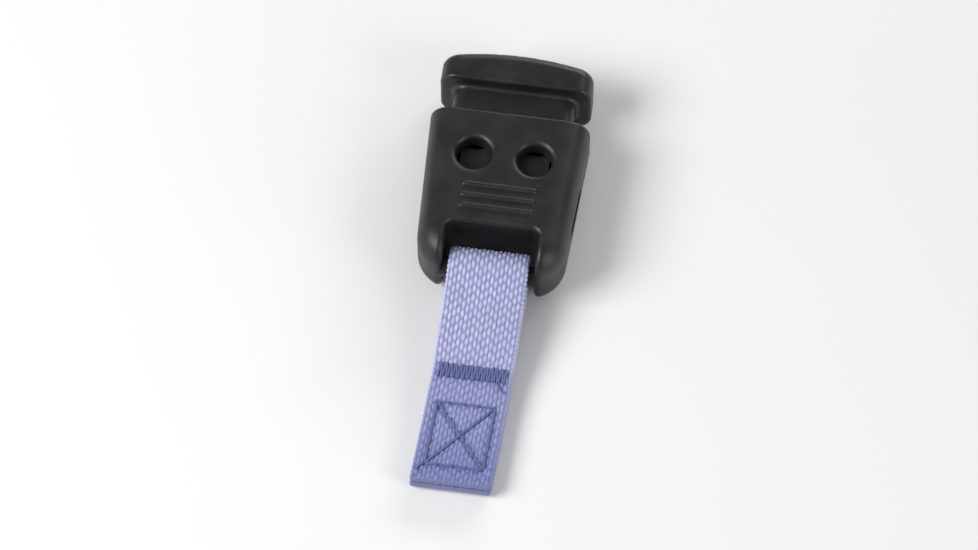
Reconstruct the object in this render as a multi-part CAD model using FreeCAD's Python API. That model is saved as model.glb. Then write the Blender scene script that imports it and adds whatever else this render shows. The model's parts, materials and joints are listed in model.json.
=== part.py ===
import FreeCAD, Part
import math
import os

# Cord lock with two cord holes, two return springs and a webbing anchor tab.
# Millimetres. +X is the width, +Y is the way the thumb head faces, +Z goes from the back to the front.
# The origin is on the back face, midway between the two cord holes.

Vector = FreeCAD.Vector
X_AXIS = Vector(1, 0, 0)
Y_AXIS = Vector(0, 1, 0)
Z_AXIS = Vector(0, 0, 1)
NEAR = 0.01  # two places this close are the same place
PAST = 1.0  # how far a cutter runs past the face it opens
BITE = 0.5  # how far an added solid reaches into the one it joins

# Driving dimensions
THICKNESS = 10.0  # barrel, back to front
MID_Z = THICKNESS / 2
CORD_HOLE_R = 2.1  # takes cord up to about 3.5 mm
CORD_HOLE_X = 3.8
TRAVEL = 4.0  # how far the thumb pushes the plunger
RUNNING_GAP = 0.2  # plunger to barrel, each side
SPRING_X = 3.2
SPRING_COIL_R = 1.5
SPRING_WIRE_D = 0.35
WEBBING_WIDTH = 10.0
WEBBING_THICKNESS = 1.2

# Barrel
BARREL_TOP_Y = 6.2
BARREL_FOOT_Y = -15.2
BARREL_TOP_HALF = 10.0
BARREL_FOOT_HALF = 9.0
FOOT_CORNER_R = 4.6
BARREL_EDGE_R = 3.0
RIM_R = 0.5
CORD_HOLE_LIP_R = 0.8
WALL = 2.0  # front and back
CAVITY_HALF = 7.8
CAVITY_CORNER_R = 1.6
CAVITY_FLOOR_Y = -8.0
END_WALL_Y = -9.6
SLOT_HALF = 5.7
SLOT_CORNER_R = 1.0
SLOT_LIP_R = 0.6
CROSSBAR_R = 1.3
CROSSBAR_Y = -13.6
WINDOW_HALF = 1.2
WINDOW_TOP_Y = -0.8
WINDOW_CORNER_R = 0.3
WINDOW_OVERRUN = 0.4  # window below the lug when the plunger is pushed home
POST_R = 0.8
POST_LENGTH = 1.5
POST_TIP_R = 0.3
GRIP_RIB_COUNT = 3
GRIP_RIB_PITCH = 1.5
GRIP_RIB_FIRST_Y = -4.5
GRIP_RIB_HALF = 4.2
GRIP_RIB_R = 0.5
GRIP_RIB_PROUD = 0.3

# Plunger
STEM_HALF = CAVITY_HALF - RUNNING_GAP
STEM_LOW_Z = WALL + RUNNING_GAP
STEM_CORNER_R = 1.5
STEM_FOOT_Y = -3.0
HEAD_FOOT_Y = 10.6
HEAD_TOP_Y = 15.2
HEAD_HALF = 9.5
HEAD_LOW_Z = 0.5
HEAD_DOME = 1.2  # fall of the top surface from the middle to the ends
HEAD_END_R = 2.2
HEAD_TOP_R = 1.4
HEAD_FOOT_R = 0.4
NECK_R = 0.6
THUMB_GROOVE_COUNT = 5
THUMB_GROOVE_PITCH = 2.6
THUMB_GROOVE_R = 0.6
THUMB_GROOVE_DEPTH = 0.35
PLUNGER_HOLE_LIP_R = 0.5
POCKET_R = 1.85
POCKET_TOP_Y = 0.0
SLIT_INNER_X = 5.5
ARM_INNER_X = 6.6
SLIT_TOP_Y = 1.6
SLIT_END_R = 0.5
LUG_REACH_X = 8.8
LUG_HALF = 1.0
LUG_HEIGHT = 0.5
LUG_RAMP = 1.5
LUG_GAP = 0.05  # lug to the top of its window at rest

# Springs
SPRING_TURNS = 7
SPRING_END_GAP = 0.02

# Webbing tab, measured from the middle of the crossbar along the tab
FOLD_GAP = 0.15  # webbing to crossbar
FOLD_TAPER_DEG = 15.0  # how steeply the two layers close behind the crossbar
FOLD_BLEND_R = 8.0
TAB_REACH = 28.35
BAR_TACK_MIDDLE = 13.3
BAR_TACK_LENGTH = 1.8
BAR_TACK_HALF = 4.3
BAR_TACK_PROUD = 0.2
STITCH_START = 17.2
STITCH_END = 26.0
STITCH_HALF = 3.8
STITCH_WIDTH = 0.5
STITCH_SUNK = 0.2
STITCH_PROUD = 0.15


def box_between(low, high):
    """A box from its low corner to its high corner."""
    size = high - low
    return Part.makeBox(size.x, size.y, size.z, low)


def edges_along(shape, direction):
    """The straight edges of the shape that run along a direction."""
    straight = [edge for edge in shape.Edges if isinstance(edge.Curve, Part.Line)]
    return [
        edge
        for edge in straight
        if edge.tangentAt(edge.FirstParameter).cross(direction).Length < NEAR
    ]


def edges_within(shape, low, high):
    """The edges of the shape that lie wholly inside a box, or on its faces."""
    region = FreeCAD.BoundBox(low.x, low.y, low.z, high.x, high.y, high.z)
    region.enlarge(NEAR)
    return [edge for edge in shape.Edges if region.isInside(edge.BoundBox)]


def rounded_prism(low, high, direction, radius):
    """A box whose four edges along one direction are rounded."""
    box = box_between(low, high)
    return box.makeFillet(radius, edges_along(box, direction))


def cord_holes(y):
    """The pair of cord holes, right through the lock, at one height."""
    holes = [
        Part.makeCylinder(CORD_HOLE_R, 3 * THICKNESS, Vector(side * CORD_HOLE_X, y, -THICKNESS), Z_AXIS)
        for side in (-1, 1)
    ]
    return Part.makeCompound(holes)


def lip_edges(shape, y, z):
    """The round edges of both cord holes at one face."""
    return [
        edge
        for edge in shape.Edges
        if isinstance(edge.Curve, Part.Circle)
        and abs(edge.Curve.Radius - CORD_HOLE_R) < NEAR
        and abs(edge.CenterOfMass.y - y) < NEAR
        and abs(edge.CenterOfMass.z - z) < NEAR
    ]


def barrel_block():
    """The outside of the barrel: a tapered block with soft edges and a flat back."""
    outline = Part.makePolygon(
        [
            Vector(-BARREL_TOP_HALF, BARREL_TOP_Y, 0),
            Vector(-BARREL_FOOT_HALF, BARREL_FOOT_Y, 0),
            Vector(BARREL_FOOT_HALF, BARREL_FOOT_Y, 0),
            Vector(BARREL_TOP_HALF, BARREL_TOP_Y, 0),
            Vector(-BARREL_TOP_HALF, BARREL_TOP_Y, 0),
        ]
    )
    block = Part.Face(outline).extrude(Vector(0, 0, THICKNESS))
    corners = [edge for edge in edges_along(block, Z_AXIS) if edge.CenterOfMass.y < 0]
    block = block.makeFillet(FOOT_CORNER_R, corners)
    long_edges = [
        edge
        for edge in block.Edges
        if edge.BoundBox.ZLength < NEAR and edge.CenterOfMass.y < BARREL_TOP_Y - NEAR
    ]
    block = block.makeFillet(BARREL_EDGE_R, long_edges)
    rim = [edge for edge in block.Edges if edge.BoundBox.YMin > BARREL_TOP_Y - NEAR]
    return block.makeFillet(RIM_R, rim)


def webbing_slot():
    """The gap at the foot of the barrel that the webbing passes through."""
    low = Vector(-SLOT_HALF, BARREL_FOOT_Y - THICKNESS, -PAST)
    high = Vector(SLOT_HALF, END_WALL_Y, THICKNESS + PAST)
    return rounded_prism(low, high, Z_AXIS, SLOT_CORNER_R)


def side_window(side):
    """The opening in one side wall that a lug of the plunger travels in."""
    inner = side * (CAVITY_HALF - PAST)
    outer = side * (BARREL_TOP_HALF + PAST)
    foot = WINDOW_TOP_Y - LUG_GAP - LUG_HEIGHT - LUG_RAMP - TRAVEL - WINDOW_OVERRUN
    low = Vector(min(inner, outer), foot, MID_Z - WINDOW_HALF)
    high = Vector(max(inner, outer), WINDOW_TOP_Y, MID_Z + WINDOW_HALF)
    return rounded_prism(low, high, X_AXIS, WINDOW_CORNER_R)


def spring_post(side):
    """The post on the cavity floor that centres one spring."""
    base = Vector(side * SPRING_X, CAVITY_FLOOR_Y - BITE, MID_Z)
    post = Part.makeCylinder(POST_R, POST_LENGTH + BITE, base, Y_AXIS)
    tip = [edge for edge in post.Edges if edge.BoundBox.YMin > CAVITY_FLOOR_Y + POST_LENGTH - NEAR]
    return post.makeFillet(POST_TIP_R, tip)


def grip_rib(y):
    """One half-round rib across the front face, with round ends."""
    z = THICKNESS + GRIP_RIB_PROUD - GRIP_RIB_R
    bar = Part.makeCylinder(GRIP_RIB_R, 2 * GRIP_RIB_HALF, Vector(-GRIP_RIB_HALF, y, z), X_AXIS)
    ends = [Part.makeSphere(GRIP_RIB_R, Vector(side * GRIP_RIB_HALF, y, z)) for side in (-1, 1)]
    return bar.fuse(ends)


def barrel():
    """The moulded barrel with its cavity, holes, windows, posts, ribs, slot and crossbar."""
    shape = barrel_block().cut(webbing_slot())
    lip_low = Vector(-SLOT_HALF, BARREL_FOOT_Y, 0)
    lip_high = Vector(SLOT_HALF, END_WALL_Y, THICKNESS)
    slot_lip = [
        edge
        for edge in edges_within(shape, lip_low, lip_high)
        if edge.BoundBox.ZLength < THICKNESS / 2
    ]
    shape = shape.makeFillet(SLOT_LIP_R, slot_lip)
    crossbar_base = Vector(-SLOT_HALF - BITE, CROSSBAR_Y, MID_Z)
    shape = shape.fuse(Part.makeCylinder(CROSSBAR_R, 2 * (SLOT_HALF + BITE), crossbar_base, X_AXIS))

    shape = shape.cut(cord_holes(0))
    shape = shape.makeFillet(CORD_HOLE_LIP_R, lip_edges(shape, 0, 0) + lip_edges(shape, 0, THICKNESS))

    cavity_low = Vector(-CAVITY_HALF, CAVITY_FLOOR_Y, WALL)
    cavity_high = Vector(CAVITY_HALF, BARREL_TOP_Y + PAST, THICKNESS - WALL)
    shape = shape.cut(rounded_prism(cavity_low, cavity_high, Y_AXIS, CAVITY_CORNER_R))
    mouth_low = Vector(-CAVITY_HALF, BARREL_TOP_Y, WALL)
    mouth_high = Vector(CAVITY_HALF, BARREL_TOP_Y, THICKNESS - WALL)
    shape = shape.makeFillet(RIM_R, edges_within(shape, mouth_low, mouth_high))

    for side in (-1, 1):
        shape = shape.cut(side_window(side))
        shape = shape.fuse(spring_post(side))
    for count in range(GRIP_RIB_COUNT):
        shape = shape.fuse(grip_rib(GRIP_RIB_FIRST_Y - count * GRIP_RIB_PITCH))
    return shape.removeSplitter()


def thumb_head():
    """The domed head that the thumb pushes, with grooves across its top."""
    low = Vector(-HEAD_HALF, HEAD_FOOT_Y, HEAD_LOW_Z)
    high = Vector(HEAD_HALF, HEAD_TOP_Y, THICKNESS - HEAD_LOW_Z)
    block = rounded_prism(low, high, Y_AXIS, HEAD_END_R)
    dome_r = (HEAD_HALF**2 + HEAD_DOME**2) / (2 * HEAD_DOME)
    dome = Part.makeCylinder(dome_r, 3 * THICKNESS, Vector(0, HEAD_TOP_Y - dome_r, -THICKNESS), Z_AXIS)
    block = block.common(dome)
    split_y = (HEAD_FOOT_Y + HEAD_TOP_Y) / 2
    crown = [edge for edge in block.Edges if edge.BoundBox.YMin > split_y]
    block = block.makeFillet(HEAD_TOP_R, crown)
    foot = [edge for edge in block.Edges if edge.BoundBox.YMax < HEAD_FOOT_Y + NEAR]
    block = block.makeFillet(HEAD_FOOT_R, foot)
    for count in range(THUMB_GROOVE_COUNT):
        x = (count - (THUMB_GROOVE_COUNT - 1) / 2) * THUMB_GROOVE_PITCH
        surface_y = HEAD_TOP_Y - dome_r + math.sqrt(dome_r**2 - x**2)
        middle = Vector(x, surface_y + THUMB_GROOVE_R - THUMB_GROOVE_DEPTH, -THICKNESS)
        block = block.cut(Part.makeCylinder(THUMB_GROOVE_R, 3 * THICKNESS, middle, Z_AXIS))
    return block


def lug(side):
    """The snap lug of one arm: flat on top, with a ramp below."""
    top_y = WINDOW_TOP_Y - LUG_GAP
    root_x = STEM_HALF - BITE
    points = [
        (root_x, top_y),
        (LUG_REACH_X, top_y),
        (LUG_REACH_X, top_y - LUG_HEIGHT),
        (STEM_HALF, top_y - LUG_HEIGHT - LUG_RAMP),
        (root_x, top_y - LUG_HEIGHT - LUG_RAMP),
        (root_x, top_y),
    ]
    outline = Part.makePolygon([Vector(side * x, y, MID_Z - LUG_HALF) for x, y in points])
    return Part.Face(outline).extrude(Vector(0, 0, 2 * LUG_HALF))


def arm_slit(side):
    """The slit that frees one snap arm from the stem."""
    inner = side * SLIT_INNER_X
    outer = side * ARM_INNER_X
    low = Vector(min(inner, outer), STEM_FOOT_Y - PAST, -PAST)
    high = Vector(max(inner, outer), SLIT_TOP_Y, THICKNESS + PAST)
    return rounded_prism(low, high, Z_AXIS, SLIT_END_R)


def plunger():
    """The moulded plunger: head, stem, cord holes, spring pockets and two snap arms."""
    low = Vector(-STEM_HALF, STEM_FOOT_Y, STEM_LOW_Z)
    high = Vector(STEM_HALF, HEAD_FOOT_Y + BITE, THICKNESS - STEM_LOW_Z)
    stem = rounded_prism(low, high, Y_AXIS, STEM_CORNER_R)
    shape = stem.fuse(thumb_head())
    neck_low = Vector(-STEM_HALF, HEAD_FOOT_Y, STEM_LOW_Z)
    neck_high = Vector(STEM_HALF, HEAD_FOOT_Y, THICKNESS - STEM_LOW_Z)
    shape = shape.makeFillet(NECK_R, edges_within(shape, neck_low, neck_high))

    shape = shape.cut(cord_holes(TRAVEL))
    lips = lip_edges(shape, TRAVEL, STEM_LOW_Z) + lip_edges(shape, TRAVEL, THICKNESS - STEM_LOW_Z)
    shape = shape.makeFillet(PLUNGER_HOLE_LIP_R, lips)

    for side in (-1, 1):
        pocket_base = Vector(side * SPRING_X, STEM_FOOT_Y - PAST, MID_Z)
        depth = POCKET_TOP_Y - STEM_FOOT_Y + PAST
        shape = shape.cut(Part.makeCylinder(POCKET_R, depth, pocket_base, Y_AXIS))
        shape = shape.cut(arm_slit(side))
        shape = shape.fuse(lug(side))
    return shape.removeSplitter()


def half_turn(pitch):
    """Half a turn of spring wire, swept along a helix about Z."""
    helix = Part.makeHelix(pitch, pitch / 2, SPRING_COIL_R)
    start = Vector(SPRING_COIL_R, 0, 0)
    heading = Vector(0, 2 * math.pi * SPRING_COIL_R, pitch)
    section = Part.Wire(Part.Circle(start, heading, SPRING_WIRE_D / 2).toShape())
    sweep = Part.BRepOffsetAPI.MakePipeShell(Part.Wire(helix))
    sweep.setFrenetMode(True)
    sweep.add(section)
    sweep.build()
    sweep.makeSolid()
    return sweep.shape()


def return_spring(side):
    """One coil spring, standing on the cavity floor and reaching the top of its pocket."""
    length = POCKET_TOP_Y - CAVITY_FLOOR_Y - 2 * SPRING_END_GAP
    pitch = (length - SPRING_WIRE_D) / SPRING_TURNS
    halves = []
    for count in range(2 * SPRING_TURNS):
        piece = half_turn(pitch)
        piece.rotate(Vector(0, 0, 0), Z_AXIS, 180 * count)
        piece.translate(Vector(0, 0, count * pitch / 2))
        halves.append(piece)
    coil = halves[0].fuse(halves[1:]).Solids[0]
    coil.rotate(Vector(0, 0, 0), X_AXIS, -90)
    foot_y = CAVITY_FLOOR_Y + SPRING_END_GAP + SPRING_WIRE_D / 2
    coil.translate(Vector(side * SPRING_X, foot_y, MID_Z))
    return coil


def fold_outline(radius, half_gap, reach):
    """Round the crossbar, then two straight sides that close to half_gap either side and run to reach.

    The outline lies in the YZ plane with the crossbar's middle at the origin and the tab along -Y.
    """
    taper = math.radians(FOLD_TAPER_DEG)
    close = (radius - half_gap * math.cos(taper)) / math.sin(taper)
    upper = Vector(0, -radius * math.sin(taper), radius * math.cos(taper))
    lower = Vector(0, upper.y, -upper.z)
    arc = Part.Arc(upper, Vector(0, radius, 0), lower).toShape()
    points = [lower, Vector(0, -close, -half_gap)]
    if half_gap > 0:
        points += [Vector(0, -reach, -half_gap), Vector(0, -reach, half_gap)]
        points += [Vector(0, -close, half_gap)]
    points += [upper]
    sides = Part.makePolygon(points).Edges
    return Part.Wire([arc] + sides)


def across_tab(half_width, start, end, low, high):
    """A bar across the tab, before the tab is laid down: start and end are distances along it."""
    return box_between(Vector(-half_width, -end, low), Vector(half_width, -start, high))


def lay_down(shape):
    """Hang the tab on the crossbar and let it drop until its tail touches the surface below."""
    lean = math.asin(MID_Z / math.hypot(TAB_REACH, WEBBING_THICKNESS))
    drop = lean - math.atan2(WEBBING_THICKNESS, TAB_REACH)
    shape.rotate(Vector(0, 0, 0), X_AXIS, math.degrees(drop))
    shape.translate(Vector(0, CROSSBAR_Y, MID_Z))
    return shape


def bar_tack_block():
    """The thread of the bar tack, right through both layers and proud on both faces."""
    reach = WEBBING_THICKNESS + BAR_TACK_PROUD
    start = BAR_TACK_MIDDLE - BAR_TACK_LENGTH / 2
    return across_tab(BAR_TACK_HALF, start, start + BAR_TACK_LENGTH, -reach, reach)


def stitch_rings():
    """The box of stitches on the front and on the back of the tails."""
    rings = []
    for side in (-1, 1):
        deep = side * (WEBBING_THICKNESS - STITCH_SUNK)
        proud = side * (WEBBING_THICKNESS + STITCH_PROUD)
        low, high = min(deep, proud), max(deep, proud)
        outer = across_tab(STITCH_HALF, STITCH_START, STITCH_END, low, high)
        inner_half = STITCH_HALF - STITCH_WIDTH
        inner = across_tab(inner_half, STITCH_START + STITCH_WIDTH, STITCH_END - STITCH_WIDTH, low, high)
        rings.append(outer.cut(inner))
    return Part.makeCompound(rings)


def anchor_tab():
    """The webbing, folded round the crossbar, with its two tails together."""
    inner_r = CROSSBAR_R + FOLD_GAP
    outer = Part.Face(fold_outline(inner_r + WEBBING_THICKNESS, WEBBING_THICKNESS, TAB_REACH))
    inner = Part.Face(fold_outline(inner_r, 0, 0))
    across = Vector(WEBBING_WIDTH, 0, 0)
    webbing = outer.extrude(across)
    taper_edges = [
        edge
        for edge in edges_along(webbing, X_AXIS)
        if -TAB_REACH / 2 < edge.CenterOfMass.y < -inner_r - WEBBING_THICKNESS
    ]
    webbing = webbing.makeFillet(FOLD_BLEND_R, taper_edges).cut(inner.extrude(across))
    webbing.translate(Vector(-WEBBING_WIDTH / 2, 0, 0))
    webbing = webbing.cut(bar_tack_block()).cut(stitch_rings())
    return lay_down(webbing)


def save(name, shape):
    """Write one sub-part, after checking that it is sound."""
    if not shape.isValid():
        raise ValueError(name + " is not a valid shape")
    shape.exportStep("parts/" + name + ".step")
    box = shape.BoundBox
    print(name, len(shape.Solids), "solid(s)", round(shape.Volume, 2), "mm3", box)


os.makedirs("parts", exist_ok=True)
save("barrel", barrel())
save("plunger", plunger())
save("spring_left", return_spring(-1))
save("spring_right", return_spring(1))
save("anchor_tab", anchor_tab())
save("bar_tack", lay_down(bar_tack_block()))
save("tail_stitch", lay_down(stitch_rings()))
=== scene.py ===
import json
import math

import bpy
import numpy as np
from mathutils import Matrix, Vector


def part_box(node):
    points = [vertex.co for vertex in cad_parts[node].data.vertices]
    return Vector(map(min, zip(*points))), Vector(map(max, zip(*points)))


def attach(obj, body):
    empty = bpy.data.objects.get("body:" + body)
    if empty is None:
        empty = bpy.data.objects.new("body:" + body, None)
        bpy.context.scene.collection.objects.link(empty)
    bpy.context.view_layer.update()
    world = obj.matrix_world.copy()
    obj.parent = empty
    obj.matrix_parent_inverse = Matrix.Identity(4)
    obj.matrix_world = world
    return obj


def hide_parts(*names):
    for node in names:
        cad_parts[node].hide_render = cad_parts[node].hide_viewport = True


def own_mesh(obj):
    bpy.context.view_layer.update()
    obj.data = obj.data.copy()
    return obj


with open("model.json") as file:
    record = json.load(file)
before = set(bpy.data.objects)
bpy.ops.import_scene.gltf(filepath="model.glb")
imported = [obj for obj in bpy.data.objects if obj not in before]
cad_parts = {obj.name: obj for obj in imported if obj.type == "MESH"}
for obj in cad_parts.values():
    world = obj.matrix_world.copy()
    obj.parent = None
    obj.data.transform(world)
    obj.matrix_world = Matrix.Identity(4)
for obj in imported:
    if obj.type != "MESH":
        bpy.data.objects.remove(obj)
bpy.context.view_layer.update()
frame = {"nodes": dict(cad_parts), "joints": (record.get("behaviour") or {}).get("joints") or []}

# Lengths are in millimetres until a mesh is made. "Along" is the distance from the crossbar's middle
# along the tab, "across" is the distance from the tab's centre line, and "off" is the distance from
# the plane between its two layers, positive towards the front.
MM = 0.001
random = np.random.default_rng(7)

joints = {joint["name"]: joint for joint in frame["joints"]}
crossbar = Vector(joints["tab_swing"]["pos_m"]) / MM
tab_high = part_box("anchor_tab")[1] / MM

# Webbing
HALF_WIDTH = 5.0
LAYER = 1.2  # its thickness
TAB_REACH = 28.35  # from the crossbar's middle to the end of the tails
FOLD_R = tab_high.y - crossbar.y - LAYER / 2  # to the middle of the layer
FOLD_TAPER = math.radians(15)  # how steeply the two layers close behind the crossbar
CLOSED_AT = 7.8  # where they meet
CLOSING_POINTS, TURN_POINTS, END_ROWS = 60, 90, 6
UPPER_TAIL_SHORT = 0.3
COLUMNS = 18  # yarns side by side
COLUMN_SAMPLES = (0.0, 0.14, 0.36, 0.64, 0.86)  # shares of a column, closer together at the gap
SIDE_SAMPLES = 7
ROW_STEP = 0.14
SELVEDGE = 0.42
YARN_PERIOD = 1.15
YARN_HEIGHT = 0.16
YARN_LOW = 0.35  # share of its height that a yarn keeps where it dips
YARN_WANDER = 0.12  # share of a period by which a yarn's crests wander
CREST_POWER, DIP_POWER = 0.5, 1.6  # they shape a yarn's section: a low power is broad, a high one narrow
SIDE_LOW = 0.4
MELTED = 0.45  # length of webbing that the hot knife sealed
MELTED_LOW, MELTED_LUMPS = 0.55, 0.25  # shares of the yarn's height
MELTED_EDGE_R = 0.3
SHADE_START, SHADE_FADE = 11.9, 1.5  # where the painted shade starts to make the webbing darker and bluer, and over what length it fades in
SHADE_AT_TACK = 0.55  # share of the full painted shade that it has just below the bar tack

# How the tab lies once it is sewn and handled
DROOP_START, DROOP_END = 5.0, 19.0  # where it leaves its straight line, and where its tail lies flat
TAIL_CLEARANCE = 0.38  # the tail lies on its stitches, this far above the surface
BEND = -0.8  # how far the tail has shifted across
TWIST = math.radians(1.4)  # halfway to where the tail lies flat
PINCH, PINCH_REACH = 0.025, 1.6  # share by which the bar tack narrows it, and how far that reaches

# Bar tack: a zigzag over a few long stitches
THREAD_R = 0.15
TACK_START, TACK_END, TACK_HALF = 12.4, 14.2, 4.3
TACK_PASSES, TACK_PROUD, TACK_DIVE = 27, 0.04, 0.32
LONG_PASSES, LONG_SUNK, LONG_DIVE = 3, 0.1, 0.25
LONG_INSET, LONG_PAST = 0.4, 0.05  # inside the zigzag's ends, and past its sides
TACK_DIP, TACK_DIP_REACH = 0.12, 0.55
TACK_ENDS_VARY, TACK_HEIGHT_VARIES = 0.06, 0.015
TACK_THICKNESS = (0.93, 1.04)

# Box stitch with a cross in it
STITCH_START, STITCH_END, STITCH_HALF = 17.45, 25.75, 3.55
STITCHES_A_SIDE, STITCHES_CROSSING = 4, 5
STITCH_PROUD, STITCH_DIVE = 0.04, 0.36
STITCH_INSET = 0.06  # from the middle of its hole
STITCH_STRAYS = 0.03
STITCH_DIP, STITCH_DIP_REACH = 0.1, 0.4
HOLE_DIP, HOLE_DIP_REACH = 0.14, 0.25
CROSSING_LIFT, CROSSING_SPREAD = 0.18, 0.2

# Any stitch, and a thread's cut end
STITCH_POINTS, LOOSE_POINTS = 17, 15
STITCH_IN_HOLE, LOOSE_IN_HOLE = 0.16, 0.2  # share of the length
LOOSE_PROUD, LOOSE_DIVE, LOOSE_LIFT = 0.1, 0.4, 0.12
LOOSE_LIFTS_AT = 0.6  # share of the length
LOOSE_CURL = 1.1  # radians
LOOSE_THINNING = 0.15
LOOSE_TACK_INSET = 0.9

# Springs
WIRE_R = 0.175
SPRING_TURNS = 7
POINTS_A_TURN = 36
CLOSED_TURNS = 0.9
CLOSED_SPACING = 1.04  # coil to coil, in wire diameters
EASING = 7  # points on each side over which the pitch changes

# Stage, in metres
FLOOR_HALF = 1.5
TARGET = Vector((0.0, -13.3, 3.5)) * MM


def smooth(t):
    """An ease from 0 to 1."""
    t = np.clip(t, 0, 1)
    return t * t * (3 - 2 * t)


def bell(t):
    """A rounded bump: 1 at 0, and almost nothing past 2."""
    return np.exp(-(t**2))


def distances(line):
    """How far each point of a line is from its start, along the line."""
    return np.r_[0, np.cumsum(np.linalg.norm(np.diff(line, axis=0), axis=1))]


def headings(line):
    """The way in which a line runs at each of its points."""
    heading = np.gradient(line, axis=0)
    return heading / np.linalg.norm(heading, axis=1)[:, None]


def tab_drop():
    """How far the tab leans down from level, in radians, so that its tail just touches the surface."""
    lean = math.asin(crossbar.z / math.hypot(TAB_REACH, LAYER))
    return lean - math.atan2(LAYER, TAB_REACH)


TAB_TO_ROW = np.array(Matrix.Translation(crossbar) @ Matrix.Rotation(tab_drop(), 4, "X"))


def settle(points):
    """Points given as (along, across, off), carried into the row with the tab as it lies there."""
    along, across, off = np.moveaxis(np.asarray(points, float), -1, 0)
    from_tack = along - (TACK_START + TACK_END) / 2
    across = across * (1 - PINCH * bell(from_tack / PINCH_REACH))
    twist = math.tan(TWIST) * np.sin(np.pi * np.clip(along / DROOP_END, 0, 1)) ** 2
    droop = math.tan(tab_drop()) * (TAB_REACH - along) - TAIL_CLEARANCE
    droop = droop * smooth((along - DROOP_START) / (DROOP_END - DROOP_START))
    off = off + across * twist - droop
    across = across + BEND * np.clip(along / TAB_REACH, 0, 1) ** 2
    local = np.stack([across, -along, off, np.ones_like(off)], axis=-1)
    return (local @ TAB_TO_ROW.T)[..., :3]


def grid_mesh(name, points, uv, attributes=()):
    """A closed tube of rows of points: each row is a ring, and both ends are capped.

    Each ring of uv has one point more, where the ring closes.
    """
    rows, ring = points.shape[:2]
    index = np.arange(rows * ring).reshape(rows, ring)
    here, after = index[:-1], index[1:]
    quads = np.stack([here, np.roll(here, -1, 1), np.roll(after, -1, 1), after], axis=-1)
    caps = [index[0][::-1].tolist(), index[-1].tolist()]
    mesh = bpy.data.meshes.new(name)
    mesh.from_pydata((points.reshape(-1, 3) * MM).tolist(), [], quads.reshape(-1, 4).tolist() + caps)
    corner_uv = np.stack([uv[:-1, :-1], uv[:-1, 1:], uv[1:, 1:], uv[1:, :-1]], axis=2)
    all_uv = np.concatenate([corner_uv.reshape(-1, 2), uv[0, :-1][::-1], uv[-1, :-1]])
    mesh.uv_layers.new(name="surface").data.foreach_set("uv", all_uv.astype(np.float32).ravel())
    for key, values in attributes:
        attribute = mesh.attributes.new(key, "FLOAT", "POINT")
        attribute.data.foreach_set("value", values.astype(np.float32).ravel())
    mesh.shade_smooth()
    return mesh


def tube(name, line, radius, sides=10):
    """A round tube along a line of points, with its length in mm and the share of its turn as uv."""
    radius = np.broadcast_to(radius, len(line))
    heading = headings(line)
    skew = (0.31, 0.17, 0.94)  # a way that no line here starts in
    normal = np.cross(heading[0], skew)
    turn = np.linspace(0, 2 * np.pi, sides, endpoint=False)[:, None]
    rings = []
    for place, way, r in zip(line, heading, radius):
        normal = normal - way * (normal @ way)
        normal /= np.linalg.norm(normal)
        side = np.cross(way, normal)
        rings.append(place + r * (np.cos(turn) * normal + np.sin(turn) * side))
    uv = np.meshgrid(distances(line), np.linspace(0, 1, sides + 1), indexing="ij")
    return grid_mesh(name, np.array(rings), np.stack(uv, axis=-1))


def placed(name, mesh, material):
    """One object made of one mesh."""
    mesh.materials.append(material)
    piece = bpy.data.objects.new(name, mesh)
    bpy.context.scene.collection.objects.link(piece)
    return piece


def joined(name, meshes, material):
    """One object made of several meshes."""
    objects = [placed(name, mesh, material) for mesh in meshes]
    with bpy.context.temp_override(active_object=objects[0], selected_editable_objects=objects):
        bpy.ops.object.join()
    whole = objects[0]
    whole.name = name
    whole.data.name = name
    return whole


# Materials


def srgb(code):
    """A colour from its hexadecimal code, as linear RGBA."""
    parts = [int(code[start : start + 2], 16) / 255 for start in (0, 2, 4)]
    return [((c + 0.055) / 1.055) ** 2.4 if c > 0.04045 else c / 12.92 for c in parts] + [1.0]


def lighter(colour, times):
    """A colour made lighter by a factor."""
    return [c * times for c in colour[:3]] + [1.0]


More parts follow.
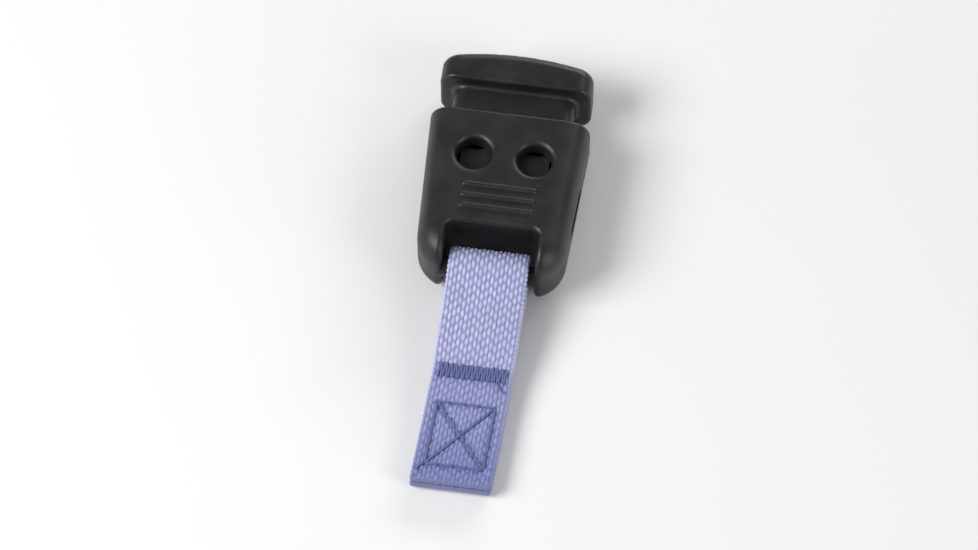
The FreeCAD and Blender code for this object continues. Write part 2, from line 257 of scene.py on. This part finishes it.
class Graph:
    """A material's nodes, with short ways to add the usual ones."""

    def __init__(self, name):
        self.material = bpy.data.materials.new(name)
        self.material.use_nodes = True
        self.tree = self.material.node_tree
        self.surface = self.tree.nodes["Principled BSDF"]

    def node(self, kind, inputs=(), **settings):
        made = self.tree.nodes.new(kind)
        for key, value in settings.items():
            setattr(made, key, value)
        for key, value in dict(inputs).items():
            self.put(made.inputs[key], value)
        return made

    def put(self, socket, value):
        if isinstance(value, bpy.types.NodeSocket):
            self.tree.links.new(value, socket)
        else:
            socket.default_value = value

    def set(self, **inputs):
        for key, value in inputs.items():
            self.put(self.surface.inputs[key.replace("_", " ")], value)

    def math(self, operation, first, second=0.0):
        made = self.node("ShaderNodeMath", {0: first, 1: second}, operation=operation)
        return made.outputs[0]

    def times(self, first, second):
        return self.math("MULTIPLY", first, second)

    def scaled(self, vector, scale, turn=(0, 0, 0)):
        inputs = {"Vector": vector, "Scale": scale, "Rotation": turn}
        return self.node("ShaderNodeMapping", inputs).outputs[0]

    def millimetres(self):
        place = self.node("ShaderNodeTexCoord").outputs["Object"]
        return self.scaled(place, (1 / MM,) * 3)

    def surface_uv(self):
        return self.node("ShaderNodeUVMap", uv_map="surface").outputs[0]

    def attribute(self, name):
        return self.node("ShaderNodeAttribute", attribute_name=name).outputs["Fac"]

    def noise(self, vector, scale=1.0, detail=2.0, roughness=0.5):
        inputs = {"Vector": vector, "Scale": scale, "Detail": detail, "Roughness": roughness}
        return self.node("ShaderNodeTexNoise", inputs).outputs["Fac"]

    def rise(self, value, start, end, low=0.0, high=1.0):
        inputs = {"Value": value, "From Min": start, "From Max": end, "To Min": low, "To Max": high}
        return self.node("ShaderNodeMapRange", inputs, interpolation_type="SMOOTHSTEP").outputs[0]

    def mix(self, share, first, second):
        made = self.node("ShaderNodeMix", data_type="RGBA")
        colours = [socket for socket in made.inputs if socket.type == "RGBA"]
        self.put(made.inputs[0], share)
        self.put(colours[0], first)
        self.put(colours[1], second)
        return [socket for socket in made.outputs if socket.type == "RGBA"][0]

    def bump(self, height, depth_mm, normal=None):
        inputs = {"Height": height, "Distance": depth_mm * MM}
        if normal is not None:
            inputs["Normal"] = normal
        return self.node("ShaderNodeBump", inputs).outputs[0]

    def edges(self, radius_mm):
        """How sharp the surface turns nearby, 0 on a flat."""
        bevel = self.node("ShaderNodeBevel", {"Radius": radius_mm * MM}, samples=6).outputs[0]
        normal = self.node("ShaderNodeNewGeometry").outputs["Normal"]
        made = self.node("ShaderNodeVectorMath", {0: bevel, 1: normal}, operation="DOT_PRODUCT")
        return self.math("SUBTRACT", 1.0, made.outputs["Value"])


def moulded_plastic(name, colour, worn, roughness, grain_mm):
    """Dark moulded plastic: fine grain, a parting line, rubbed edges, hairline scratches and lint."""
    g = Graph(name)
    place = g.millimetres()
    grain = g.noise(place, scale=1 / grain_mm, roughness=0.6)
    flow = g.noise(place, scale=0.28, detail=3.0)
    scratch_place = g.scaled(place, (0.5, 9.0, 4.0), turn=(0.3, 0.2, math.radians(24)))
    scratch = g.rise(g.noise(scratch_place, scale=1.1, detail=1.0), 0.76, 0.8)
    patches = g.rise(g.noise(place, scale=0.7, detail=4.0, roughness=0.7), 0.4, 0.7)
    rubbed = g.rise(patches, 0.0, 1.0, low=0.35)
    edge = g.times(g.rise(g.edges(radius_mm=0.35), 0.01, 0.14), rubbed)
    lint_place = g.scaled(place, (1, 3, 2), turn=(0.4, 0.1, 0.9))
    lint = g.rise(g.noise(lint_place, scale=3.2, detail=6.0, roughness=0.75), 0.7, 0.78)
    height = g.node("ShaderNodeSeparateXYZ", {0: place}).outputs["Z"]
    from_parting = g.math("ABSOLUTE", g.math("SUBTRACT", height, crossbar.z))
    parting = g.rise(from_parting, 0.03, 0.09, low=1.0, high=0.0)

    base = g.mix(g.rise(flow, 0.3, 0.7), colour, lighter(colour, 1.35))
    base = g.mix(g.times(edge, 0.6), base, worn)
    base = g.mix(g.times(scratch, 0.25), base, worn)
    base = g.mix(g.times(lint, 0.25), base, srgb("8c8a84"))
    gloss = g.rise(flow, 0.25, 0.75, low=roughness - 0.05, high=roughness + 0.07)
    gloss = g.math("SUBTRACT", gloss, g.times(edge, 0.14))
    gloss = g.math("ADD", gloss, g.times(lint, 0.3))
    normal = g.bump(flow, 0.03)
    normal = g.bump(grain, 0.025, normal)
    normal = g.bump(scratch, -0.008, normal)
    normal = g.bump(parting, 0.05, normal)
    g.set(Base_Color=base, Roughness=gloss, Normal=normal)
    return g.material


def woven_webbing(name, colour, shadow, shaded_crest_colour, shaded_gap_colour):
    """Polyester webbing: filaments, darker gaps, painted shade that makes the tails darker and bluer
    towards their end, sealed ends and a soft sheen.
    """
    g = Graph(name)
    flat = g.surface_uv()
    weave, sealed, painted_shade = (g.attribute(key) for key in ("weave", "sealed", "painted_shade"))
    filaments = g.noise(g.scaled(flat, (1.3, 17.0, 1.0)), detail=3.0, roughness=0.65)
    yarns = g.noise(g.scaled(flat, (0.35, 1.9, 1.0)), detail=1.0)
    fading = g.noise(g.millimetres(), scale=0.12, detail=3.0)

    # Painted shade: towards the end of the tails, the yarn crests and the gaps between them turn darker
    # and bluer, and the light filament streaks fade.
    crest = g.mix(painted_shade, colour, shaded_crest_colour)
    gap = g.mix(painted_shade, shadow, shaded_gap_colour)
    shine = g.mix(painted_shade, srgb("dcddf6"), colour)
    base = g.mix(g.rise(weave, 0.05, 0.75), gap, crest)
    base = g.mix(g.rise(filaments, 0.4, 0.7, high=0.45), base, shine)
    base = g.mix(g.rise(yarns, 0.35, 0.7, high=0.22), base, shadow)
    base = g.mix(g.rise(fading, 0.35, 0.7, high=0.16), base, srgb("8f93c4"))
    base = g.mix(g.times(sealed, 0.75), base, srgb("6c6f9c"))
    gloss = g.rise(filaments, 0.3, 0.7, low=0.62, high=0.82)
    gloss = g.math("SUBTRACT", gloss, g.times(sealed, 0.35))
    g.set(Base_Color=base, Roughness=gloss, Normal=g.bump(filaments, 0.07))
    g.set(Sheen_Weight=0.3, Sheen_Roughness=0.45, Sheen_Tint=srgb("d9dbf5"))
    return g.material


def twisted_thread(name, colour, shadow, twist_mm):
    """Three-ply sewing thread: dark lines between the plies, and fine filaments in each."""
    g = Graph(name)
    flat = g.surface_uv()
    parts = g.node("ShaderNodeSeparateXYZ", {0: flat})
    turns = g.math("ADD", g.math("DIVIDE", parts.outputs["X"], twist_mm), parts.outputs["Y"])
    ply = g.math("ABSOLUTE", g.math("SINE", g.times(turns, 3 * math.pi)))
    filaments = g.noise(g.scaled(flat, (6.0, 22.0, 1.0), turn=(0, 0, 0.5)))
    base = g.mix(g.rise(ply, 0.0, 0.6), shadow, colour)
    base = g.mix(g.rise(filaments, 0.4, 0.7, high=0.25), base, srgb("a9aedb"))
    gloss = g.rise(filaments, 0.3, 0.7, low=0.45, high=0.65)
    normal = g.bump(filaments, 0.01, g.bump(ply, 0.05))
    g.set(Base_Color=base, Roughness=gloss, Normal=normal)
    g.set(Sheen_Weight=0.2, Sheen_Roughness=0.4)
    return g.material


def drawn_wire(name):
    """Spring steel: fine draw lines along the wire and a faint straw tint in places."""
    g = Graph(name)
    lines = g.noise(g.scaled(g.surface_uv(), (0.5, 30.0, 1.0)))
    tint = g.noise(g.millimetres(), scale=0.9)
    base = g.mix(g.rise(tint, 0.4, 0.7), srgb("b9b8b2"), srgb("a89f8c"))
    gloss = g.rise(lines, 0.3, 0.7, low=0.22, high=0.42)
    g.set(Base_Color=base, Metallic=1.0, Roughness=gloss, Normal=g.bump(lines, 0.01))
    return g.material


def pale_card(name):
    """The surface below: pale card with a faint tooth."""
    g = Graph(name)
    place = g.millimetres()
    tooth = g.noise(place, scale=3.0, detail=4.0)
    base = g.mix(g.noise(place, scale=0.01), srgb("eeeeec"), srgb("f3f3f2"))
    gloss = g.rise(tooth, 0.3, 0.7, low=0.7, high=0.85)
    g.set(Base_Color=base, Roughness=gloss, Normal=g.bump(tooth, 0.01))
    return g.material


# Webbing tab


def fold_line():
    """The middle of the webbing, from the upper tail's end round the crossbar to the lower one's."""
    rest = LAYER / 2
    start = np.array([FOLD_R * math.sin(FOLD_TAPER), FOLD_R * math.cos(FOLD_TAPER)])
    t = np.linspace(0, 1, CLOSING_POINTS)[:, None]
    run = CLOSED_AT - start[0]
    along = start[0] + run * t
    slope = -math.tan(FOLD_TAPER)
    off = (
        (2 * t**3 - 3 * t**2 + 1) * start[1]
        + (t**3 - 2 * t**2 + t) * slope * run
        + (3 * t**2 - 2 * t**3) * rest
    )
    closing = np.hstack([along, off])
    upper = np.vstack([[TAB_REACH - UPPER_TAIL_SHORT, rest], closing[::-1]])
    lower = np.vstack([closing, [TAB_REACH, rest]]) * [1, -1]
    turn = np.linspace(math.pi / 2 - FOLD_TAPER, 3 * math.pi / 2 + FOLD_TAPER, TURN_POINTS)[1:-1]
    bend = FOLD_R * np.stack([np.cos(turn), np.sin(turn)], axis=1)
    return np.vstack([upper, bend, lower])


def webbing_rows():
    """The rows of the weave on the line of the fold, closer together where the ends are rounded."""
    line = fold_line()
    reach = distances(line)
    end = MELTED_EDGE_R * (1 - np.cos(np.linspace(0, math.pi / 2, END_ROWS)))
    rows = round((reach[-1] - 2 * MELTED_EDGE_R) / ROW_STEP)
    between = np.linspace(MELTED_EDGE_R, reach[-1] - MELTED_EDGE_R, rows + 1)
    places = np.r_[end[:-1], between, reach[-1] - end[-2::-1]]
    return np.stack([np.interp(places, reach, column) for column in line.T], axis=1), places


def strip_ring():
    """The webbing's section: its outline as (across, through), and the outline's outward normals.

    Then, for each point, whether it is on a face, and whether it is on the outer face.
    """
    edge = HALF_WIDTH - SELVEDGE
    samples = (np.arange(COLUMNS)[:, None] + np.array(COLUMN_SAMPLES)).ravel()
    across = edge * (2 * np.r_[samples, COLUMNS] / COLUMNS - 1)
    face = np.stack([across, np.full_like(across, LAYER / 2)], axis=1)
    face_normal = np.tile([0.0, 1.0], (len(face), 1))
    turn = np.linspace(math.pi / 2, -math.pi / 2, SIDE_SAMPLES + 2)[1:-1]
    side_normal = np.stack([np.cos(turn), np.sin(turn)], axis=1)
    side = np.array([edge, 0]) + side_normal * [SELVEDGE, LAYER / 2]
    ring = np.vstack([face, side, -face, -side])
    normal = np.vstack([face_normal, side_normal, -face_normal, -side_normal])
    order = np.arange(len(ring))
    is_face = order % (len(face) + len(side)) < len(face)
    return ring, normal, is_face, order < len(face)


def yarn_bumps(distance, across):
    """The height of the weave, 0 between yarns and 1 on top of one."""
    place = (across + HALF_WIDTH - SELVEDGE) / (2 * (HALF_WIDTH - SELVEDGE)) * COLUMNS
    column = np.clip(np.floor(place), 0, COLUMNS - 1)
    profile = np.clip(np.sin(np.pi * np.clip(place - column, 0, 1)), 0, 1)
    wander = YARN_WANDER * np.sin(distance * 0.41 + column * 1.7)
    rise = 0.5 + 0.5 * np.cos(2 * np.pi * (distance / YARN_PERIOD + column / 2 + wander))
    power = CREST_POWER + (DIP_POWER - CREST_POWER) * (1 - rise)
    return profile**power * (YARN_LOW + (1 - YARN_LOW) * rise)


def side_bumps(distance):
    """The height of the weft where it turns along the sides of the strip."""
    return SIDE_LOW + (1 - SIDE_LOW) * np.cos(2 * np.pi * distance / YARN_PERIOD) ** 2


def melted_bumps(distance, across):
    """The uneven height of an end that the hot knife sealed."""
    lumps = 0.5 + 0.5 * np.sin(across * 2.3 + distance) * np.sin(across * 5.1 + 1.3)
    return MELTED_LOW + MELTED_LUMPS * lumps


def seams():
    """The straight runs of the box stitch, then of its cross: start, end and number of stitches."""
    near, far, half = STITCH_START, STITCH_END, STITCH_HALF
    corners = [np.array(corner) for corner in ((near, -half), (near, half), (far, half), (far, -half))]
    sides = [(corners[count], corners[(count + 1) % 4], STITCHES_A_SIDE) for count in range(4)]
    cross = [(corners[count], corners[count + 2], STITCHES_CROSSING) for count in range(2)]
    return sides + cross


def needle_holes(start, end, stitches):
    """The places where the stitches of a seam go down."""
    return start + np.linspace(0, 1, stitches + 1)[:, None] * (end - start)


def thread_dips(along, across):
    """How far the thread pulls the face of the webbing in."""
    past_end = np.maximum(np.maximum(TACK_START - along, along - TACK_END), 0)
    past_side = np.maximum(np.abs(across) - TACK_HALF, 0)
    tack = TACK_DIP * bell(np.hypot(past_end, past_side) / TACK_DIP_REACH)
    groove, holes = 0 * along, 0 * along
    for start, end, stitches in seams():
        run = end - start
        share = ((along - start[0]) * run[0] + (across - start[1]) * run[1]) / (run @ run)
        share = np.clip(share, 0, 1)
        away = np.hypot(along - start[0] - share * run[0], across - start[1] - share * run[1])
        groove = np.maximum(groove, STITCH_DIP * bell(away / STITCH_DIP_REACH))
        for hole in needle_holes(start, end, stitches):
            away = np.hypot(along - hole[0], across - hole[1])
            holes = np.maximum(holes, HOLE_DIP * bell(away / HOLE_DIP_REACH))
    return tack + groove + holes


def painted_shade_share(along):
    """How much painted shade makes the webbing darker and bluer: none above the bar tack, and all of it
    at the end of the tails.
    """
    to_end = smooth((along - TACK_END) / (TAB_REACH - TACK_END))
    share = SHADE_AT_TACK + (1 - SHADE_AT_TACK) * to_end
    return share * smooth((along - SHADE_START) / SHADE_FADE)


def webbing_tab(material):
    """One strip of webbing, woven, folded round the crossbar, with both ends sealed by heat."""
    line, places = webbing_rows()
    ring, normal, is_face, is_outer = strip_ring()
    distance, across = np.meshgrid(places, ring[:, 0], indexing="ij")
    along = np.broadcast_to(line[:, :1], distance.shape)

    from_end = np.minimum(distance, places[-1] - distance)
    sealed = 1 - smooth(from_end / MELTED)
    bumps = np.where(is_face, yarn_bumps(distance, across), side_bumps(distance))
    bumps = bumps * (1 - sealed) + melted_bumps(distance, across) * sealed
    sunk = YARN_HEIGHT * (1 - bumps)
    sunk = sunk + np.where(is_outer & (along > FOLD_R), thread_dips(along, across), 0)
    to_round = np.clip(MELTED_EDGE_R - from_end, 0, MELTED_EDGE_R)
    sunk = sunk + MELTED_EDGE_R - np.sqrt(MELTED_EDGE_R**2 - to_round**2)

    outward = headings(line)[:, None, ::-1] * [1, -1]
    through = ring[:, 1] - normal[:, 1] * sunk
    on_fold = line[:, None] + outward * through[..., None]
    sideways = ring[:, 0] - normal[:, 0] * sunk
    points = settle(np.stack([on_fold[..., 0], sideways, on_fold[..., 1]], axis=-1))

    around = distances(np.vstack([ring, ring[:1]]))
    uv = np.stack(np.meshgrid(places, around, indexing="ij"), axis=-1)
    shares = [("weave", bumps), ("sealed", sealed), ("painted_shade", painted_shade_share(along))]
    mesh = grid_mesh("webbing_tab", points, uv, shares)
    return placed("webbing_tab", mesh, material), places[-1]


# Thread


def stitch(start, end, off, side, dive, shift=0.0, lift=0.0):
    """One stitch on one face: it comes up from a hole, lies on the webbing and goes down the next."""
    t = np.linspace(0, 1, STITCH_POINTS)
    place = np.outer(1 - t, start) + np.outer(t, end)
    in_hole = 1 - smooth(np.minimum(t, 1 - t) / STITCH_IN_HOLE)
    height = side * (off + lift * bell((t - 0.5) / CROSSING_SPREAD) - dive * in_hole)
    return settle(np.column_stack([place[:, 0], place[:, 1] + shift * np.sin(np.pi * t), height]))


def loose_end(start, heading, length):
    """The cut end of a thread: it comes out of a hole and lies on the upper face in a slack curve."""
    t = np.linspace(0, 1, LOOSE_POINTS)
    angle = heading + LOOSE_CURL * t
    step = length / (LOOSE_POINTS - 1)
    along = start[0] + step * np.cumsum(np.cos(angle))
    across = start[1] + step * np.cumsum(np.sin(angle))
    in_hole = 1 - smooth(t / LOOSE_IN_HOLE)
    lifted = smooth((t - LOOSE_LIFTS_AT) / (1 - LOOSE_LIFTS_AT))
    height = LAYER + LOOSE_PROUD - LOOSE_DIVE * in_hole + LOOSE_LIFT * lifted
    line = settle(np.column_stack([along, across, height]))
    return tube("loose_end", line, THREAD_R * (1 - LOOSE_THINNING * t))


def bar_tack(material):
    """Long stitches across the tab, covered by a close zigzag, on both faces."""
    pitch = 2 * (TACK_HALF - THREAD_R) / (TACK_PASSES - 1)
    reach = TACK_HALF + LONG_PAST
    meshes = []
    for side in (-1, 1):
        for place in np.linspace(TACK_START + LONG_INSET, TACK_END - LONG_INSET, LONG_PASSES):
            line = stitch((place, -reach), (place, reach), LAYER - LONG_SUNK, side, LONG_DIVE)
            meshes.append(tube("tack", line, THREAD_R))
        for count in range(TACK_PASSES):
            across = -TACK_HALF + THREAD_R + count * pitch
            lean = pitch * (0.5 if count % 2 else -0.5)
            start = TACK_START + random.uniform(-TACK_ENDS_VARY, TACK_ENDS_VARY)
            end = TACK_END + random.uniform(-TACK_ENDS_VARY, TACK_ENDS_VARY)
            off = LAYER + TACK_PROUD + random.uniform(-TACK_HEIGHT_VARIES, TACK_HEIGHT_VARIES)
            line = stitch((start, across - lean / 2), (end, across + lean / 2), off, side, TACK_DIVE)
            meshes.append(tube("tack", line, THREAD_R * random.uniform(*TACK_THICKNESS)))
    meshes.append(loose_end((TACK_END, TACK_HALF - LOOSE_TACK_INSET), heading=0.1, length=1.5))
    return joined("bar_tack_thread", meshes, material)


def box_stitch(material):
    """The box of lock stitches with a cross in it, on both faces of the tails."""
    meshes = []
    off = LAYER + STITCH_PROUD
    last_seam = len(seams()) - 1
    for side in (-1, 1):
        for order, seam in enumerate(seams()):
            holes = needle_holes(*seam)
            for count, (hole, following) in enumerate(zip(holes[:-1], holes[1:])):
                inset = STITCH_INSET * (following - hole) / np.linalg.norm(following - hole)
                shift = random.uniform(-STITCH_STRAYS, STITCH_STRAYS)
                crosses = order == last_seam and count == STITCHES_CROSSING // 2
                lift = CROSSING_LIFT if crosses else 0
                line = stitch(hole + inset, following - inset, off, side, STITCH_DIVE, shift, lift)
                meshes.append(tube("stitch", line, THREAD_R))
    meshes.append(loose_end((STITCH_END, -STITCH_HALF), heading=-1.2, length=1.3))
    return joined("tail_stitch_thread", meshes, material)


# Springs


def coil_spring(node, name, material):
    """A spring with closed end coils, in the place of its plain CAD coil."""
    low, high = (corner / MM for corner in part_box(node))
    coil_r = (high.x - low.x) / 2 - WIRE_R
    middle = (low + high) / 2
    turns = np.linspace(0, SPRING_TURNS, POINTS_A_TURN * SPRING_TURNS + 1)
    rise = high.y - low.y - 2 * WIRE_R
    closed_rise = 2 * WIRE_R * CLOSED_TURNS * CLOSED_SPACING
    knots = [0, CLOSED_TURNS, SPRING_TURNS - CLOSED_TURNS, SPRING_TURNS]
    climb = np.interp(turns, knots, [0, closed_rise, rise - closed_rise, rise])
    window = np.hanning(2 * EASING + 1)
    padded = np.pad(climb, EASING, mode="reflect", reflect_type="odd")
    climb = np.convolve(padded, window / window.sum(), mode="valid")
    angle = 2 * np.pi * turns
    x = middle.x + coil_r * np.cos(angle)
    z = middle.z + coil_r * np.sin(angle)
    line = np.stack([x, low.y + WIRE_R + climb, z], axis=1)
    spring = placed(name, tube(name, line, WIRE_R, sides=12), material)
    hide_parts(node)
    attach(spring, "barrel")
    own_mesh(spring)


# Build

lavender = woven_webbing(
    "lavender_webbing",
    colour=srgb("d0d2f6"),
    shadow=srgb("7b7fb6"),
    shaded_crest_colour=srgb("757eb8"),
    shaded_gap_colour=srgb("4d5494"),
)
violet_thread = twisted_thread("violet_thread", srgb("666fab"), srgb("30356a"), twist_mm=0.9)
steel = drawn_wire("spring_steel")
barrel_plastic = moulded_plastic(
    "barrel_plastic", srgb("1b1a19"), worn=srgb("42413e"), roughness=0.42, grain_mm=0.2
)
plunger_plastic = moulded_plastic(
    "plunger_plastic", srgb("1d1c1b"), worn=srgb("474642"), roughness=0.36, grain_mm=0.16
)

for node, material in (("barrel", barrel_plastic), ("plunger", plunger_plastic)):
    frame["nodes"][node].data.materials.clear()
    frame["nodes"][node].data.materials.append(material)

tab, flat_length = webbing_tab(lavender)
tack = bar_tack(violet_thread)
stitches = box_stitch(violet_thread)
for piece, node, slot in (
    (tab, "anchor_tab", "webbing"),
    (tack, "bar_tack", "thread"),
    (stitches, "tail_stitch", "thread"),
):
    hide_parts(node)
    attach(piece, "tab")

coil_spring("spring_left", "left_spring_coil", steel)
coil_spring("spring_right", "right_spring_coil", steel)


# Floor, lights and camera


def floor():
    """A wide pale surface under the lock."""
    mesh = bpy.data.meshes.new("floor")
    corners = [(x * FLOOR_HALF, y * FLOOR_HALF, 0) for x, y in ((-1, -1), (1, -1), (1, 1), (-1, 1))]
    mesh.from_pydata(corners, [], [(0, 1, 2, 3)])
    placed("floor", mesh, pale_card("pale_card"))


def softbox(name, place, size, watts):
    """A rectangular soft light, aimed at the lock."""
    light = bpy.data.lights.new(name, "AREA")
    light.shape = "RECTANGLE"
    light.size, light.size_y = size
    light.energy = watts
    lamp = bpy.data.objects.new(name, light)
    lamp.location = Vector(place)
    lamp.rotation_euler = (TARGET - lamp.location).to_track_quat("-Z", "Y").to_euler()
    bpy.context.scene.collection.objects.link(lamp)


def surroundings(strength):
    """Even white light from all round."""
    world = bpy.data.worlds.new("studio")
    world.use_nodes = True
    background = world.node_tree.nodes["Background"]
    background.inputs["Color"].default_value = (1.0, 1.0, 1.0, 1.0)
    background.inputs["Strength"].default_value = strength
    bpy.context.scene.world = world


def camera(azimuth, elevation, distance, lens):
    """A long lens, level with the horizon, that looks at the middle of the lock."""
    a, e = math.radians(azimuth), math.radians(elevation)
    away = Vector((math.sin(a) * math.cos(e), -math.cos(a) * math.cos(e), math.sin(e)))
    data = bpy.data.cameras.new("camera")
    data.lens = lens
    data.clip_start = 0.01
    view = bpy.data.objects.new("camera", data)
    view.location = TARGET + away * distance
    view.rotation_euler = (-away).to_track_quat("-Z", "Y").to_euler()
    bpy.context.scene.collection.objects.link(view)
    bpy.context.scene.camera = view


floor()
softbox("key", place=(-0.34, -0.16, 0.36), size=(0.26, 0.26), watts=2.3)
softbox("fill", place=(0.42, -0.20, 0.22), size=(0.20, 0.36), watts=0.8)
softbox("back", place=(0.16, 0.44, 0.22), size=(0.45, 0.12), watts=1.1)
surroundings(strength=0.24)
camera(azimuth=8, elevation=62, distance=0.55, lens=165)
bpy.context.scene.view_settings.view_transform = "Standard"
